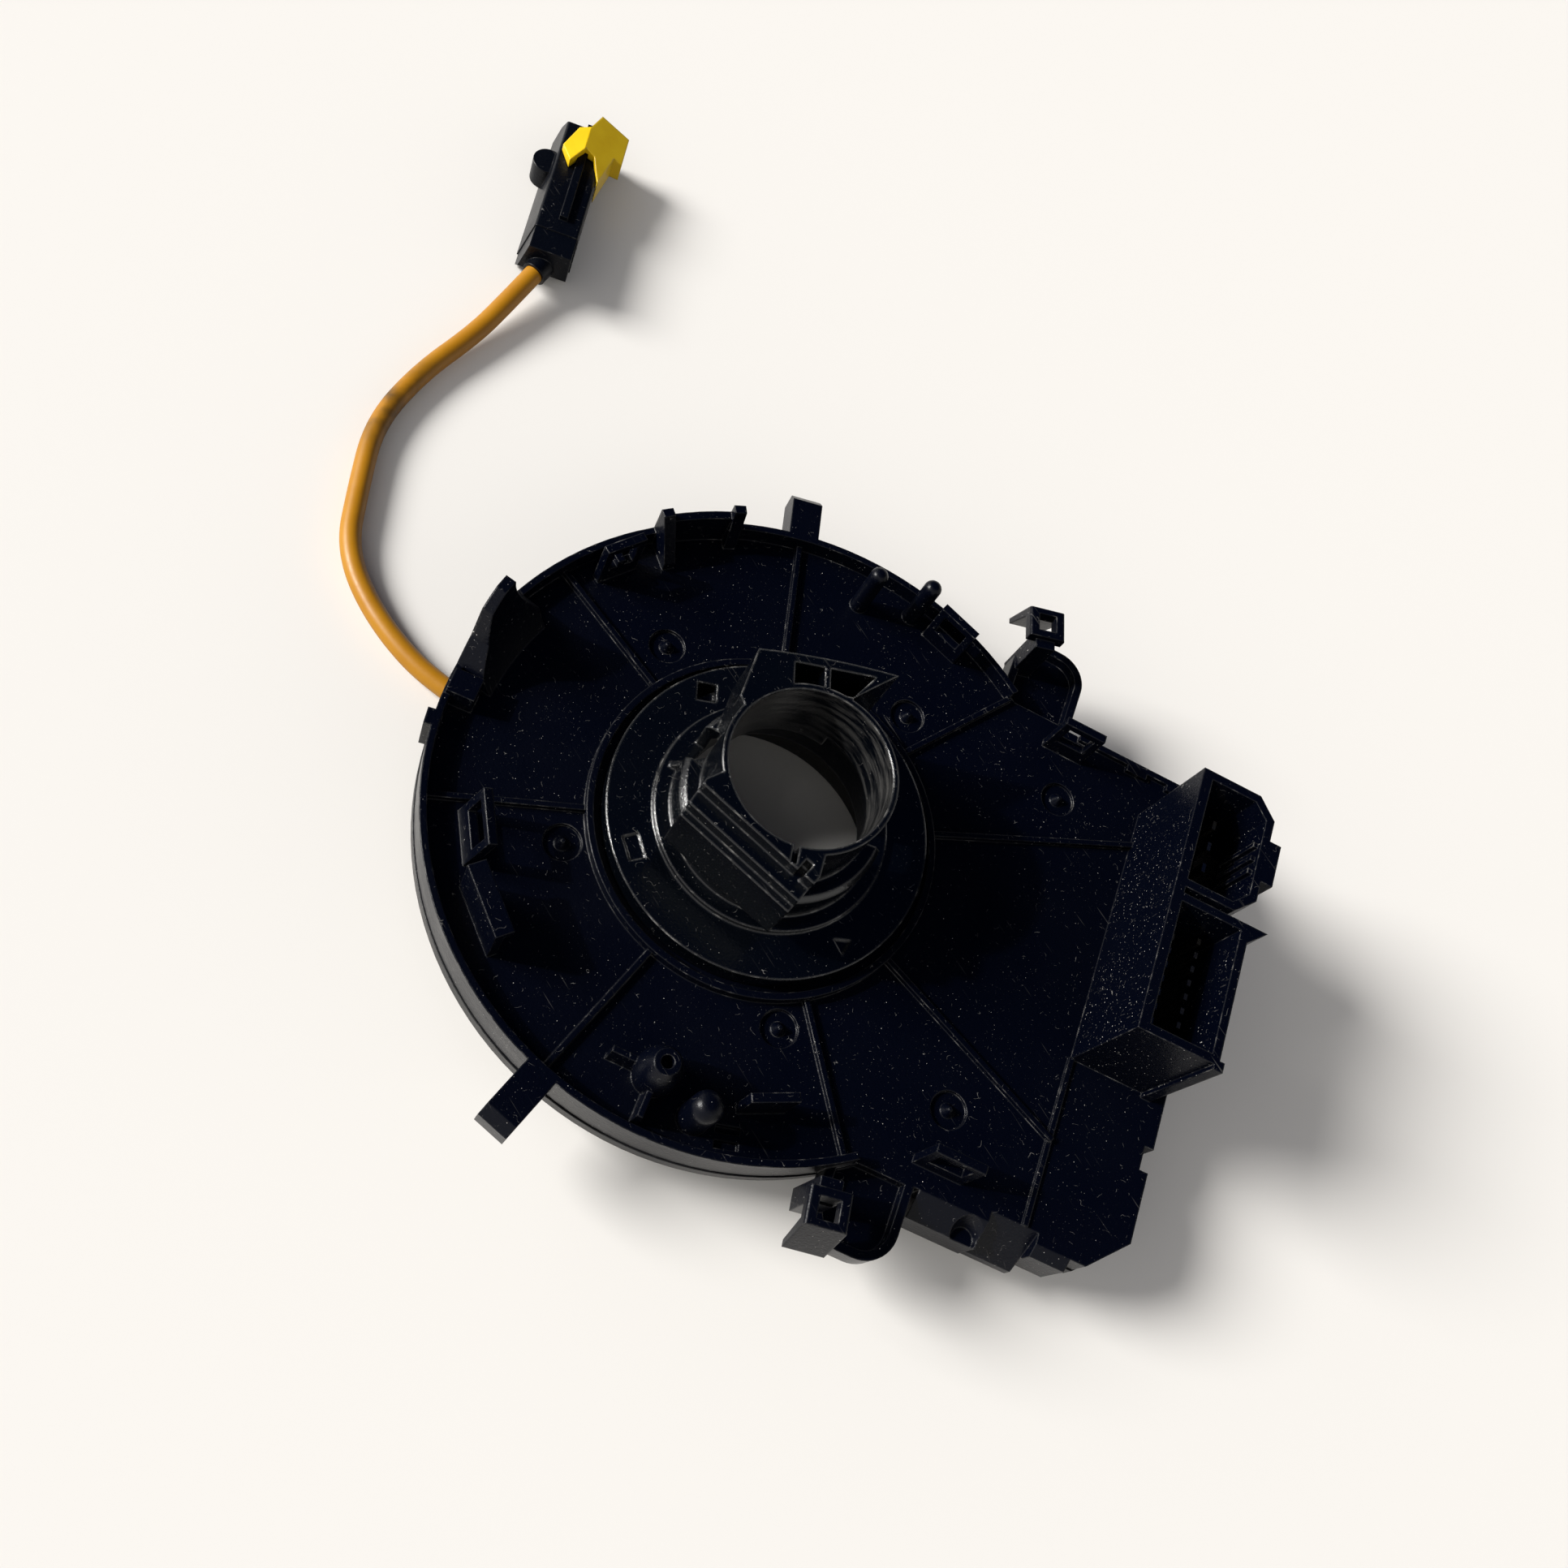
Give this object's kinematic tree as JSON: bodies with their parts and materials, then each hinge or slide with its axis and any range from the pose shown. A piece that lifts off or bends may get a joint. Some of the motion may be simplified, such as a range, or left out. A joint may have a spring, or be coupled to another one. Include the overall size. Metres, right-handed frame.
{
  "type": "steering clock spring",
  "caption": "Steering column clock spring: round flat-cable housing with a turning hub, upright harness sockets, snap brackets and a yellow airbag lead with a locking connector.",
  "frame": {"origin": "on the shaft axis, at the plane of the rotor's foot ring that the part stands on", "axes": "+Z along the shaft axis out of the column side; +X from the axis to the harness sockets; +Y completes the right hand"},
  "size_m": [0.1615, 0.1803, 0.0384],
  "materials": {
    "case_plastic": "satin moulded, fine grain",
    "rotor_plastic": "satin moulded",
    "insert_plastic": "satin moulded",
    "connector_plastic": "satin moulded",
    "sheet_plastic": "smooth low-friction film",
    "ribbon_film": "smooth film",
    "terminal_metal": "tinned",
    "lead_sleeve": "soft sleeve",
    "lock_plastic": "smooth moulded"
  },
  "bodies": {
    "stator": {"rear_case": "case_plastic", "front_case": "case_plastic", "outer_terminal_block": "insert_plastic", "lower_socket_pins": "terminal_metal", "upper_socket_pins": "terminal_metal", "shorting_clip": "terminal_metal", "outer_ribbon_clip": "insert_plastic", "outer_busbars": "terminal_metal", "rear_slip_sheet": "sheet_plastic", "ribbon_cable": "ribbon_film"},
    "rotor": {"front_rotor": "rotor_plastic", "hub_sleeve": "rotor_plastic", "front_slip_sheet": "sheet_plastic", "inner_ribbon_clip": "insert_plastic", "inner_busbars": "terminal_metal", "wheel_socket": "insert_plastic", "wheel_socket_pins": "terminal_metal", "lead_boot": "insert_plastic", "lead_terminals": "terminal_metal", "pigtail_lead": "lead_sleeve", "connector_cover": "connector_plastic", "airbag_connector": "connector_plastic", "airbag_contacts": "terminal_metal"},
    "lock": {"airbag_lock": "lock_plastic"}
  },
  "joints": [
    {"name": "rotor_turn", "type": "hinge", "parent": "stator", "child": "rotor", "pos_m": [0, 0, 0], "axis": [0, 0, 1], "range_deg": [-900, 900]},
    {"name": "lock_slide", "type": "slide", "parent": "rotor", "child": "lock", "axis": [0.1908, -0.9816, 0], "range_m": [0, 0.0035]}
  ]
}
